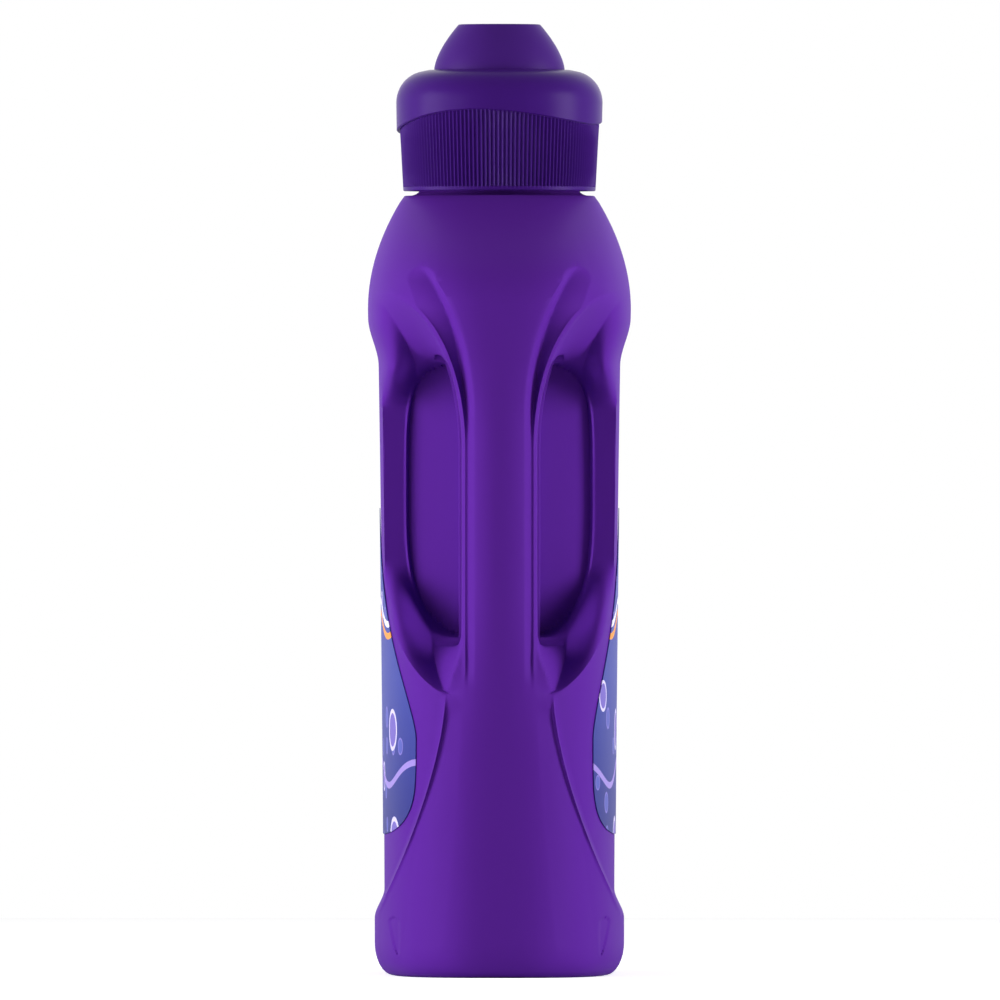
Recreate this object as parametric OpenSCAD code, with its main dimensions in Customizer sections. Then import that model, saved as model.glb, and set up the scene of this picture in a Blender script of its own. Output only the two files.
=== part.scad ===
// Fabric softener bottle with a hollow side handle, a ribbed closure and a dosing cup.
// The neck axis is Z, the base stands on z = 0, the handle is at +X and the front faces -Y.

/* [Blown body] */
// Width over the far side and the handle
bottle_w = 210; // [200:1:224]
// Depth over the shoulder crest, front to back
bottle_d = 88.6; // [84:0.2:96]
// Depth over the foot
foot_d = 84; // [80:0.2:88]
// Height of the land that the neck stands on
shoulder_h = 262.2; // [256:0.2:275]
// Height of the shoulder crest, where the body is deepest
crest_h = 224; // [220:1:228]
// Diameter of the land round the neck
land_d = 64.4; // [62:0.2:68]
// Wall of the blown body
wall = 1.5; // [1.2:0.1:2]

/* [Foot and label panel] */
// Height of the upright band of the foot
foot_h = 19; // [17:0.5:22]
// Height of the rounding under the foot
foot_round_h = 10.8; // [8:0.2:12]
// How far the rounding runs in under the foot
foot_round_in = 6; // [4:0.5:8]
// Depth of the label panel below the foot and the shoulder
panel_recess = 3.3; // [2:0.1:4]
// Height of the ledge between foot and panel
ledge_h = 10; // [6:1:14]
// Height at which the panel starts to swell to the shoulder
panel_top_h = 205; // [198:1:210]
// Rise of the push-up in the base
push_up = 3; // [2:0.5:4]

/* [Handle] */
// Width of the grip, front to back
grip_w = 25; // [22:0.5:27]
// Thickness of the grip, hand side to finger side
grip_t = 22; // [19:0.5:25]
// Width of the crown along the middle of the grip
crown_w = 16; // [14:0.5:18]
// Depth of the bevel beside the crown
bevel_depth = 1.5; // [0.5:0.5:3]
// How far the sides of the grip fall back from its middle
crown_fall = 2.5; // [1:0.5:4]
// How far the grip draws in at its waist
waist_in = 4.5; // [2:0.5:7]
// Height of the waist of the grip
waist_h = 177; // [172:1:182]
// Bottom of the finger hole
hole_low = 113; // [110:1:118]
// Top of the finger hole
hole_high = 206; // [200:1:210]
// Distance of the finger hole's body wall from the neck axis
hole_wall_x = 52; // [46:0.5:56]
// Width of the finger hole's body wall, front to back
hole_wall_w = 60.8; // [54:0.2:64]
// Slope of the body wall to either side of the middle
hole_wall_slope = 0.5; // [0.2:0.05:0.55]

/* [Leaf beside the handle] */
// Top of the leaf-shaped scoop
leaf_top_h = 229; // [226:1:232]
// Height at which the scoop's lower edge starts to bend in
leaf_bend_h = 139.5; // [134:0.5:145]
// Point of the leaf, where the lower crease starts
leaf_tip_h = 95; // [90:1:100]

/* [Flutes] */
// Height of the centre of the round flute end
flute_top_h = 233; // [230:1:236]
// Distance of the round flute end from the middle plane
flute_y = 25.8; // [24:0.2:27]
// Radius of the round flute end
flute_r = 4.9; // [4:0.1:5.5]
// Depth of the flutes
flute_depth = 4.2; // [2:0.1:5]
// Depth of the facets below the handle
facet_depth = 1.8; // [0.4:0.1:2.4]

/* [Neck and pourer] */
// Outside diameter of the neck finish
neck_d = 50.4; // [48:0.2:51]
// Diameter of the collar at the foot of the neck
collar_d = 54; // [53:0.2:55]
// Height of that collar
collar_h = 3.4; // [2:0.2:4]
// Height of the neck above the land
neck_h = 22; // [20:0.5:24]
// Bore of the neck
bore_d = 45.6; // [44:0.2:46]
// Wall of the pourer's plug
plug_t = 1.4; // [1:0.1:2]
// Depth of the pourer's well below its flange
well_h = 15; // [12:0.5:17]
// Thickness of the pourer's flange
flange_t = 1.6; // [1.2:0.1:2]
// Inside diameter of the pouring tube
tube_d = 17; // [14:0.5:20]
// Height of the pouring tube above the flange
tube_h = 13; // [10:0.5:14]
// Width of the drain-back slot
slot_w = 5; // [4:0.5:8]

/* [Dosing cup] */
// Outside diameter of the cup under its dome
cup_d = 44; // [43:0.2:45]
// Diameter of the flat top of the dome
dome_top_d = 25; // [22:0.5:28]
// Height of the dome above the crown
dome_h = 15.4; // [13:0.2:17]
// Outside diameter of the cup's threaded skirt
cup_skirt_d = 58.4; // [58:0.2:59]
// Wall of the cup
cup_t = 1.4; // [1.2:0.1:1.6]

/* [Cap shell] */
// Diameter at the bottom of the ribbed skirt
skirt_low_d = 64.8; // [64.6:0.2:66]
// Diameter at the top of the ribbed skirt
skirt_top_d = 67.8; // [67:0.2:68.4]
// Gap between the land and the skirt
skirt_gap = 1.6; // [1:0.1:2.5]
// Number of grip ribs
ribs = 148; // [120:4:160]
// Depth of a grip rib
rib_depth = 0.6; // [0.3:0.05:0.8]
// Diameter of the crown
crown_d = 69.6; // [69.2:0.2:71]
// Height of the widest line of the crown above the land
crown_wide_h = 31.5; // [30:0.5:33]
// Height of the crown's top above the land
crown_top_h = 42.4; // [41.6:0.2:44]
// Wall of the shell
shell_t = 1.5; // [1.2:0.1:1.6]
// Mean height of the crown's wavy lower lip above the land
lip_h = 25.6; // [24.5:0.1:26.5]
// Dip of the lip at its nose
lip_nose = 1.5; // [0:0.1:2]
// Dip of the lip at front and back together
lip_wave = 3.1; // [0:0.1:3.4]
// Direction in which the nose of the lip points
nose_angle = 250; // [0:5:355]

/* [Labels] */
// Bottom edge of both labels
label_low = 48; // [46:1:52]
// Height at which the labels are widest
label_wide_h = 80; // [74:1:86]
// Tip of both labels
label_top = 157; // [150:1:164]
// Half width of the front label
front_label_w = 85; // [76:1:86]
// Half width of the back label
back_label_w = 77; // [70:1:84]
// Thickness of a label
label_t = 0.25; // [0.2:0.05:0.4]

/* [Fits] */
// Clearance between pieces that turn or lift past each other
run_gap = 0.3; // [0.2:0.05:0.5]
// Clearance of a plugged or glued fit
fit_gap = 0.05; // [0.02:0.01:0.1]
// Standoff of the label film, which covers the facets of the curved panel
film_gap = 0.15; // [0.1:0.05:0.3]

/* [Hidden] */
$fn = 96;

// Fullness of the body's section: 2 is an ellipse, more is squarer
body_full = 2.8;
// Width of the handle's steep flank, as seen from the side
flank_w = 1.2;
// Radius of the inner edges of the finger hole
hole_round = 6;
// Distance kept between the leaf's outer edge and the silhouette
edge_in = 0.9;
// Half depth of the leaf's edge, and the reach of its arc to the grip
leaf_edge = panel_half_d(waist_h + 20);
leaf_reach = leaf_edge - grip_w / 2;
// Middle and half height of the finger hole
hole_mid = (hole_low + hole_high) / 2;
hole_half = (hole_high - hole_low) / 2;
// Height of the ridge round the body wall of the finger hole
rim_h = 2.4;
// Half width of the middle panel where it meets the base
spine_foot = 20.4;
// Fullness of the label's round lower end
label_full = 4.5;
// Rise of the base ring's inner slope, as scales of the base outline
ring_in = 0.93;
push_in = 0.84;

neck_top = shoulder_h + neck_h;
plug_d = bore_d - 2 * fit_gap;
well_d = plug_d - 2 * plug_t;
flange_top = neck_top + flange_t;
cup_seat = flange_top + run_gap;
cup_shoulder = cup_seat + cup_t;
crown_top = shoulder_h + crown_top_h;
dome_top = crown_top + dome_h;
skirt_low = shoulder_h + skirt_gap;
lip_mean = shoulder_h + lip_h;
skirt_top = shoulder_h + lip_h + 4;
shell_seat = cup_shoulder + run_gap;

// Small helpers for blends between forms
function clamp(v, low = 0, high = 1) = max(low, min(high, v));
function mix(a, b, t) = a + (b - a) * t;
function ease(t) = let (u = clamp(t)) u * u * (3 - 2 * u);
function ramp(v, v0, v1) = clamp((v - v0) / (v1 - v0));
function bell(v, middle, reach) = exp(-pow((v - middle) / reach, 2));
function even(v0, v1, n) = [for (i = [0:n - 1]) mix(v0, v1, i / n)];

// Body form, as half widths and half depths at height z

// How far the foot's rounding runs in at height z
function foot_in(z) =
    z < foot_round_h
        ? foot_round_in * (1 - sqrt(1 - pow(1 - z / foot_round_h, 2)))
        : 0;

// Fall from the crest to the land, 0 to 1
function shoulder_fall(z) = pow(ramp(z, crest_h, shoulder_h), 2);

function full_half_d(z) =
    let (side = mix(foot_d / 2, bottle_d / 2, pow(ramp(z, foot_h, crest_h), 1.5)))
    mix(side, land_d / 2, shoulder_fall(z)) - foot_in(z);

function recess(z) =
    panel_recess
    * ease(ramp(z, foot_h, foot_h + ledge_h))
    * (1 - ease(ramp(z, panel_top_h, crest_h - 3)));

function panel_half_d(z) = full_half_d(z) - recess(z);

// The spine of the handle draws in at the grip and a little below it
function spine_w(z) =
    let (side = bottle_w / 2
        - waist_in * bell(z, waist_h, 38)
        - 1.5 * bell(z, leaf_tip_h + 10, 35))
    mix(side, land_d / 2, shoulder_fall(z)) - foot_in(z);

function far_w(z) =
    mix(bottle_w / 2, land_d / 2, shoulder_fall(z)) - foot_in(z);

function fullness(z) = mix(body_full, 2, ramp(z, crest_h, shoulder_h));

// Reach of a rounded section with half width a and half depth b, at depth y
function reach_at(a, b, n, y) = a * pow(max(0, 1 - pow(min(y / b, 1), n)), 1 / n);

function full_x(y, z) = reach_at(spine_w(z), full_half_d(z), fullness(z), y);
function panel_x(y, z) =
    reach_at(spine_w(z) - recess(z), panel_half_d(z), fullness(z), y);

// Feature lines of the handle side, as distance from the middle plane

// Edge of the grip, which runs on as the inner edge of the leaf and of the facets
function grip_edge(z) =
    z > flute_top_h
        ? mix(flute_y + flute_r + 1, 0.35 * land_d, ramp(z, flute_top_h, shoulder_h))
    : z > crest_h
        ? mix(leaf_arc(crest_h), flute_y + flute_r + 1, ramp(z, crest_h, flute_top_h))
    : z > waist_h
        ? leaf_arc(z)
        : mix(grip_w / 2, spine_foot, pow(ramp(z, leaf_tip_h, 0), 1.6));

function leaf_arc(z) =
    leaf_edge - leaf_reach * sqrt(1 - pow((z - waist_h) / (leaf_top_h - waist_h), 2));

// Edge between the crown and the flute
function crown_edge(z) =
    let (
        rise = pow(ramp(z, waist_h + 8, flute_top_h), 2.4),
        top = flute_y - flute_r,
        flare = grip_edge(z) / (grip_w / 2)
    )
    z > flute_top_h
        ? mix(top, 0.25 * land_d, ramp(z, flute_top_h, shoulder_h))
        : z > waist_h
            ? mix(crown_w / 2, top, rise)
            : crown_w / 2 * flare;

function flute_out(z) = grip_edge(z) - 1.1;

// Outer edge of the leaf, and below its point the crease of the label panel
function leaf_out(z) =
    let (limit = panel_half_d(z) - edge_in)
    z > leaf_bend_h
        ? limit
        : z > leaf_tip_h
            ? min(limit, leaf_low_arc(z))
            : min(limit, mix(
                leaf_low_arc(leaf_tip_h),
                foot_d / 2 - 1.1,
                pow(ramp(z, leaf_tip_h, foot_h + 2.6), 1.6)
            ));

function leaf_low_arc(z) =
    let (
        side = panel_half_d(leaf_bend_h) - edge_in - grip_w / 2,
        down = (leaf_bend_h - z) / (leaf_bend_h - leaf_tip_h + 1)
    )
    grip_w / 2 + side * sqrt(1 - down * down);

// Outer edge of the finger hole's body wall
function wall_edge(z) =
    let (u = (z - hole_mid) / hole_half, n = u > 0 ? 5 : 3)
    abs(u) < 1 ? hole_wall_w / 2 * pow(1 - pow(abs(u), n), 1 / n) : 0;

// Distances inside or outside the feature lines, for the slope of the leaf

// Depth of a point inside an ellipse with half axes a and b
function inside_by(dy, dz, a, b) =
    let (
        e = sqrt(pow(dy / a, 2) + pow(dz / b, 2)),
        steep = sqrt(pow(dy / (a * a), 2) + pow(dz / (b * b), 2))
    )
    (1 - e) * e / max(steep, 0.0001);

function leaf_depth(y, z) =
    let (
        top = z > waist_h
            ? inside_by(y - leaf_edge, z - waist_h, leaf_reach, leaf_top_h - waist_h)
            : 99,
        low = z < leaf_bend_h
            ? inside_by(y - grip_w / 2, z - leaf_bend_h,
                leaf_low_arc(leaf_bend_h) - grip_w / 2, leaf_bend_h - leaf_tip_h + 1)
            : 99,
        tip_slope = 15 / (leaf_low_arc(leaf_tip_h) - grip_w / 2),
        tip = (z - leaf_tip_h - 15 + tip_slope * (y - grip_w / 2))
            / sqrt(1 + tip_slope * tip_slope)
    )
    max(0, min(top, low, tip, leaf_out(z) - y));

function outside_wall(y, z) =
    let (
        u = (z - hole_mid) / hole_half,
        n = u > 0 ? 5 : 3,
        e = pow(pow(y / (hole_wall_w / 2), n) + pow(abs(u), n), 1 / n)
    )
    e <= 1 ? 0 : norm([y, z - hole_mid]) * (1 - 1 / e);

// 0 on the edge of the leaf, 1 on the finger hole's wall
function leaf_share(y, z) =
    let (q = leaf_depth(y, z), s = q / max(q + outside_wall(y, z), 0.0001))
    z > leaf_top_h || z < leaf_tip_h ? 0 : 1 - pow(1 - s, 2.2);

// A low ridge round the body wall, where the finger hole meets the panel's edge
function leaf_rim(y, z) =
    let (
        d = outside_wall(y, z),
        q = leaf_depth(y, z),
        shape = ease(d / 1.8) * (1 - ease((d - 1.8) / 6)) * ease(q / 3)
    )
    rim_h * shape * ease(ramp(z, 140, 165)) * (1 - ease(ramp(z, 196, 212)));

// Grooves cut into the form, as depths along X

function groove(t) = t > 0 && t < 1 ? sin(180 * pow(t, 0.6)) : 0;

function flute_cut(y, z) =
    let (
        over = (z - flute_top_h) / flute_r,
        half = flute_r * sqrt(max(0, 1 - over * over)),
        t = over <= 0
            ? (y - crown_edge(z)) / (flute_out(z) - crown_edge(z))
            : 0.5 + (y - flute_y) / max(2 * half, 0.01),
        low_end = 0.25 * ease(ramp(z, leaf_tip_h, leaf_tip_h + 12)),
        fade = over <= 0 ? mix(low_end, 1, ease(ramp(z, waist_h, waist_h + 25))) : half / flute_r
    )
    over >= 1 ? 0 : flute_depth * fade * groove(t);

// Fall of the sides of the grip, which dies out beyond its edge
function bevel_cut(y, z) =
    let (
        low = grip_edge(z),
        t = ramp(y, crown_edge(z), low),
        fade = ease(ramp(z, leaf_tip_h, hole_low + 5)) * (1 - ease(ramp(z, waist_h, crest_h))),
        round_fade = 1 - ease(ramp(z, crest_h, shoulder_h)),
        beyond = 1 - ease((y - low) / 12)
    )
    (bevel_depth * fade * pow(t, 1.5) + crown_fall * round_fade * pow(clamp(y / low), 2)) * beyond;

function facet_cut(y, z) =
    let (
        split = 27.3 + 0.13 * (49 - z),
        low = grip_edge(z),
        edge = leaf_out(z),
        middle = z < 49 ? min(split, edge) : edge,
        t = ramp(y, low, middle),
        step_in = ease((edge + flank_w / 2 - y) / 2.4),
        fade = ease(ramp(z, 0, foot_round_h)) * (1 - ease(ramp(z, leaf_tip_h - 9, leaf_tip_h)))
    )
    facet_depth * fade * t * step_in;

// Points of one half section, from the handle's middle to the far side's middle

function crown_point(y, z) =
    [full_x(y, z) - flute_cut(y, z) - bevel_cut(y, z), y, z];

function leaf_point(y, z) =
    let (
        low = grip_edge(z),
        out = leaf_out(z),
        share = ramp(y, low, out) * ease(ramp(z, leaf_tip_h - 5, leaf_tip_h + 2)),
        base = mix(full_x(y, z), panel_x(y, z), share),
        wall_x = hole_wall_x - hole_wall_slope * max(0, y - 4),
        flank = ramp(y, low, low + flank_w)
    )
    [
        mix(base - bevel_cut(y, z), wall_x, leaf_share(y, z) * flank)
            + leaf_rim(y, z) * flank - flute_cut(y, z) - facet_cut(y, z),
        y,
        z
    ];

function round_point(a, b, n, turn, z) =
    [
        a * sign(cos(turn)) * pow(abs(cos(turn)), 2 / n),
        b * pow(abs(sin(turn)), 2 / n),
        z
    ];

function panel_points(z, steps) =
    let (
        b = panel_half_d(z),
        a = spine_w(z) - recess(z),
        n = fullness(z),
        start = asin(pow(min(0.999, (leaf_out(z) + flank_w / 2) / b), n / 2))
    )
    [for (t = even(start, 90, steps)) round_point(a, b, n, t, z)];

function far_points(z, steps) =
    let (b = panel_half_d(z), a = far_w(z) - recess(z), n = fullness(z))
    [for (i = [0:steps]) round_point(a, b, n, 90 + 90 * i / steps, z)];

function half_section(z, f) =
    let (
        e1 = crown_edge(z),
        e2 = flute_out(z),
        e3 = grip_edge(z),
        e4 = e3 + flank_w,
        e6 = leaf_out(z),
        e5 = clamp(wall_edge(z), mix(e4, e6, 0.45), mix(e4, e6, 0.75))
    )
    concat(
        [for (y = even(0, e1, f[0])) crown_point(y, z)],
        [for (y = even(e1, e2, f[1])) crown_point(y, z)],
        [crown_point(e2, z), crown_point(e3, z)],
        [for (y = even(e4, e5, f[2])) leaf_point(y, z)],
        [for (y = even(e5, e6, f[3])) leaf_point(y, z)],
        [leaf_point(e6, z)],
        panel_points(z, f[4]),
        far_points(z, f[5])
    );

// A closed ring: the half section and its mirror image, anticlockwise from above
function ring(z, f) = mirrored(half_section(z, f));

// Heights of the rings: close together where the form turns quickly
function ring_heights(k) = concat(
    [0, foot_round_h * 0.08, foot_round_h * 0.27, foot_round_h * 0.6, foot_round_h],
    even(foot_round_h + 4, foot_h + ledge_h, 4 * k),
    even(foot_h + ledge_h, leaf_tip_h - 4, 6 * k),
    even(leaf_tip_h - 4, hole_low + 4, 5 * k),
    even(hole_low + 4, hole_high - 12, 7 * k),
    even(hole_high - 12, flute_top_h, 9 * k),
    even(flute_top_h, flute_top_h + flute_r, 2 * k),
    even(flute_top_h + flute_r, shoulder_h, 2 * k),
    [shoulder_h]
);

function flat_list(rows) = [for (row = rows) each row];

// Faces between rings of n points, clockwise from outside. Each quad is split along its shorter
// diagonal, and near squares are split in mirrored ways in the two halves of the ring.
function skin_faces(points, rows, n) = [
    for (i = [0:rows - 2], j = [0:n - 1])
        let (
            a = i * n + j,
            b = i * n + (j + 1) % n,
            c = b + n,
            d = a + n,
            ac = norm(points[a] - points[c]),
            bd = norm(points[b] - points[d]),
            split_ac = ac < 0.95 * bd || (bd >= 0.95 * ac && j < n / 2)
        )
        each (split_ac ? [[a, d, c], [a, c, b]] : [[a, d, b], [d, c, b]])
];

// A fan that closes the first or the last ring on the point with index tip
function fan_faces(first, n, tip, up) = [
    for (j = [0:n - 1])
        let (a = first + j, b = first + (j + 1) % n)
        up ? [a, tip, b] : [b, tip, a]
];

module lofted(rings, low_tip, high_tip) {
    rows = len(rings);
    n = len(rings[0]);
    points = concat(flat_list(rings), [low_tip, high_tip]);
    faces = concat(
        skin_faces(points, rows, n),
        fan_faces(0, n, rows * n, false),
        fan_faces((rows - 1) * n, n, rows * n + 1, true)
    );
    polyhedron(points = points, faces = faces, convexity = 10);
}

function scaled_ring(points, s, z) = [for (p = points) [p.x * s, p.y * s, z]];

// Columns of the outer skin in each band of the section
fine = [2, 3, 2, 3, 4, 6];

module body_form() {
    base = ring(0, fine);
    lofted(
        concat(
            [scaled_ring(base, push_in, push_up), scaled_ring(base, ring_in, 0)],
            [for (z = ring_heights(1.1)) ring(z, fine)]
        ),
        [0, 0, push_up],
        [0, 0, shoulder_h]
    );
}

// Reach of the handle side at distance y from the middle plane
function skin_x(y, z) =
    y < grip_edge(z) ? crown_point(y, z).x
        : y < leaf_out(z) ? leaf_point(y, z).x
        : panel_x(y, z);

// The least reach round a point, so that a plain cavity stays clear of every groove and flank
function least_x(y, z) =
    min([for (dy = [-2.6, 0, 2.6], dz = [-4, 0, 4]) skin_x(abs(y + dy), clamp(z + dz, 0, shoulder_h))]);

function cavity_section(z) =
    let (
        b = panel_half_d(z) - wall,
        a = spine_w(z) - recess(z) - wall,
        far = far_w(z) - recess(z) - wall,
        n = fullness(z),
        e1 = crown_edge(z),
        e3 = grip_edge(z),
        e6 = min(leaf_out(z), b - 1),
        ys = concat(even(0, e1, 2), even(e1, e3 - 3, 2), even(e3 - 3, e3, 1), even(e3, e6, 5), [e6]),
        start = asin(pow(e6 / b, n / 2))
    )
    concat(
        [for (y = ys) [min(least_x(y, z) - wall, reach_at(a, b, n, y)), y, z]],
        [for (i = [1:3]) round_point(a, b, n, mix(start, 90, i / 4), z)],
        [for (i = [0:6]) round_point(far, b, n, 90 + 15 * i, z)]
    );

function mirrored(half) =
    let (n = len(half))
    concat(half, [for (i = [n - 2:-1:1]) [half[i].x, -half[i].y, half[i].z]]);

module cavity_form() {
    low = push_up + wall + 0.2;
    heights = [
        for (z = ring_heights(0.8))
            if (z > foot_round_h * 0.5 && z < shoulder_h - 4) z
    ];
    foot_ring = mirrored(cavity_section(foot_round_h * 0.27));
    lofted(
        concat(
            [scaled_ring(foot_ring, 0.9, low), scaled_ring(foot_ring, 0.98, low - 1)],
            [for (z = heights) mirrored(cavity_section(z))],
            [scaled_ring(mirrored(cavity_section(shoulder_h - 3)), 0.9, shoulder_h - 2.6)]
        ),
        [0, 0, low],
        [0, 0, shoulder_h - 2.5]
    );
}

// Outline of the finger hole in the handle plane, wider by flare on the grip side
function hole_outline(flare, grow) = [
    for (i = [0:39])
        let (
            turn = i * 9,
            full = 3.6,
            up = sign(sin(turn)) * pow(abs(sin(turn)), 2 / full),
            side = sign(cos(turn)) * pow(abs(cos(turn)), 2 / full),
            z = hole_mid + up * (hole_half + grow + flare * 0.4),
            grip_x = spine_w(clamp(z, hole_low, hole_high)) - grip_t + grow + flare,
            body_x = hole_wall_x - grow - 0.2
        )
        [mix(body_x, grip_x, (side + 1) / 2), z]
];

module finger_hole(grow) {
    half = grip_w / 2;
    steps = [
        for (t = [0, 30, 60, 90])
            [half - hole_round * (1 - sin(t)), hole_round * (1 - cos(t))]
    ];
    far = [half + 9, hole_round];
    profile = concat(
        [[-far[0], far[1]]],
        [for (i = [3:-1:0]) [-steps[i][0], steps[i][1]]],
        steps,
        [far]
    );
    lofted(
        [for (p = profile) [for (q = hole_outline(p[1] * (grow > 0 ? 0.9 : 1), grow)) [q[0], -p[0], q[1]]]],
        [(hole_wall_x + spine_w(hole_mid) - grip_t) / 2, far[0], hole_mid],
        [(hole_wall_x + spine_w(hole_mid) - grip_t) / 2, -far[0], hole_mid]
    );
}

module blown_body() {
    difference() {
        body_form();
        finger_hole(0);
        difference() {
            cavity_form();
            finger_hole(wall);
        }
    }
}

module neck_outside() {
    translate([0, 0, shoulder_h - 1])
        cylinder(d = collar_d, h = collar_h + 1, $fn = 72);
    translate([0, 0, shoulder_h])
        cylinder(d = neck_d, h = neck_h, $fn = 72);
}

module bottle() {
    color("#5a2a96")
    resize([bottle_w, 0, 0])
    difference() {
        union() {
            blown_body();
            neck_outside();
        }
        translate([0, 0, shoulder_h - 8])
            cylinder(d = bore_d, h = neck_h + 9, $fn = 72);
    }
}

// Drain-back pourer plugged into the neck
module pour_spout() {
    floor_z = flange_top - well_h;
    tube_r = tube_d / 2;
    tube_t = 1.4;
    color("#efeaf6")
    difference() {
        union() {
            translate([0, 0, neck_top])
                cylinder(d = neck_d - 1, h = flange_t);
            translate([0, 0, floor_z - 1.5])
                cylinder(d = plug_d, h = well_h);
        }
        translate([0, 0, floor_z])
            cylinder(d = well_d, h = well_h + 1);
        translate([0, 0, floor_z - 2])
            cylinder(r = tube_r, h = 4);
    }
    color("#efeaf6")
    difference() {
        translate([0, 0, floor_z - 1])
            cylinder(r = tube_r + tube_t, h = well_h + tube_h + 1);
        translate([0, 0, floor_z - 2])
            cylinder(r = tube_r, h = well_h + tube_h + 4);
        translate([-slot_w / 2, 0, floor_z])
            cube([slot_w, tube_d, well_h + tube_h + 1]);
        translate([0, 0, flange_top + tube_h])
            rotate([-30, 0, 0])
            translate([-tube_d, -tube_d - 5, 0])
            cube([2 * tube_d, 2 * tube_d + 10, tube_h]);
    }
}

// Wall profile of the dosing cup, upside down on the neck
function dome_line(t) = [
    [cup_d / 2 - t, crown_top],
    [mix(cup_d, dome_top_d, 0.14) / 2 - t, crown_top + dome_h * 0.22],
    [mix(cup_d, dome_top_d, 0.31) / 2 - t, crown_top + dome_h * 0.48],
    [mix(cup_d, dome_top_d, 0.53) / 2 - t, crown_top + dome_h * 0.74],
    [mix(cup_d, dome_top_d, 0.84) / 2 - t, dome_top - 0.3 - t * 0.8],
    [dome_top_d / 2 - t, dome_top - t]
];

module dosing_cup() {
    skirt_r = cup_skirt_d / 2;
    outside = concat(
        [[skirt_r, skirt_low + 2], [skirt_r, cup_shoulder], [cup_d / 2, cup_shoulder]],
        dome_line(0),
        [[0, dome_top]]
    );
    inside = dome_line(cup_t);
    color("#4a2d78")
    rotate_extrude()
        polygon(concat(
            outside,
            [[0, dome_top - cup_t]],
            [for (i = [len(inside) - 1:-1:0]) inside[i]],
            [[cup_d / 2 - cup_t, cup_seat], [skirt_r - cup_t, cup_seat], [skirt_r - cup_t, skirt_low + 2]]
        ));
}

// Height of the crown's lower lip in direction turn, measured from its nose
function lip(turn) = lip_mean - lip_nose * cos(turn) - lip_wave * cos(2 * turn);

function skirt_r_at(z) =
    mix(skirt_low_d, skirt_top_d, (z - skirt_low) / (skirt_top - skirt_low)) / 2;

// One loop of the crown's wall, from the lip round the outside to the sleeve and back
function crown_loop(turn) =
    let (
        low = lip(turn),
        wide = shoulder_h + crown_wide_h,
        r = crown_d / 2,
        rise = crown_top - wide,
        sleeve = cup_d / 2 + run_gap,
        bend = [for (t = [0, 22, 44, 64, 80]) [r - 10.5 * (1 - cos(t)), wide + (rise - 0.3) * sin(t)]]
    )
    concat(
        [[skirt_r_at(low) - shell_t, low], [r - 0.4, low]],
        bend,
        [[sleeve + 1.6, crown_top], [sleeve, crown_top - 1.2], [sleeve, shell_seat]],
        [[sleeve + shell_t, shell_seat], [sleeve + shell_t, crown_top - 3.2]],
        [[r - 8, crown_top - 4.2], [r - shell_t - 1, wide]]
    );

module crown() {
    steps = 60;
    loops = [
        for (i = [0:steps - 1])
            let (turn = i * 360 / steps, a = turn + nose_angle)
            [for (p = crown_loop(turn)) [p[0] * cos(a), p[0] * sin(a), p[1]]]
    ];
    n = len(loops[0]);
    faces = [
        for (i = [0:steps - 1], j = [0:n - 1])
            let (
                a = i * n + j,
                b = i * n + (j + 1) % n,
                c = ((i + 1) % steps) * n + (j + 1) % n,
                d = ((i + 1) % steps) * n + j
            )
            each [[a, b, c], [a, c, d]]
    ];
    polyhedron(points = flat_list(loops), faces = faces, convexity = 8);
}

function rib_outline(r) = [
    for (i = [0:2 * ribs - 1])
        let (a = i * 180 / ribs, reach = r - rib_depth * (i % 2))
        [reach * cos(a), reach * sin(a)]
];

module ribbed_skirt() {
    translate([0, 0, skirt_low + 1.6])
        linear_extrude(
            height = skirt_top - skirt_low - 1.6,
            scale = skirt_top_d / (2 * skirt_r_at(skirt_low + 1.6))
        )
        polygon(rib_outline(skirt_r_at(skirt_low + 1.6)));
    translate([0, 0, skirt_low])
        cylinder(r = skirt_low_d / 2, h = 1.7);
}

module cap_shell() {
    color("#4b1d86")
    union() {
        difference() {
            ribbed_skirt();
            translate([0, 0, skirt_low - 1])
                cylinder(
                    r1 = skirt_low_d / 2 - shell_t - rib_depth,
                    r2 = skirt_top_d / 2 - shell_t - rib_depth,
                    h = skirt_top - skirt_low + 2
                );
        }
        crown();
    }
}

// A film on the label panel: the panel's own facets moved out, cut to the label's outline
function label_half(z, w) =
    z < label_wide_h
        ? w * pow(1 - pow((label_wide_h - z) / (label_wide_h - label_low), label_full), 1 / label_full)
        : w * (1 - pow((z - label_wide_h) / (label_top - label_wide_h), 1.45));

function label_outline(w) =
    let (
        low = [for (i = [0:6]) label_wide_h - (label_wide_h - label_low) * pow(1 - i / 7, 0.4)],
        high = [for (i = [0:9]) mix(label_wide_h, label_top, i / 9)],
        side = [for (z = concat(low, high)) [label_half(z, w), z]],
        n = len(side)
    )
    concat(side, [for (i = [n - 2:-1:0]) [-side[i][0], side[i][1]]]);

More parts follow.
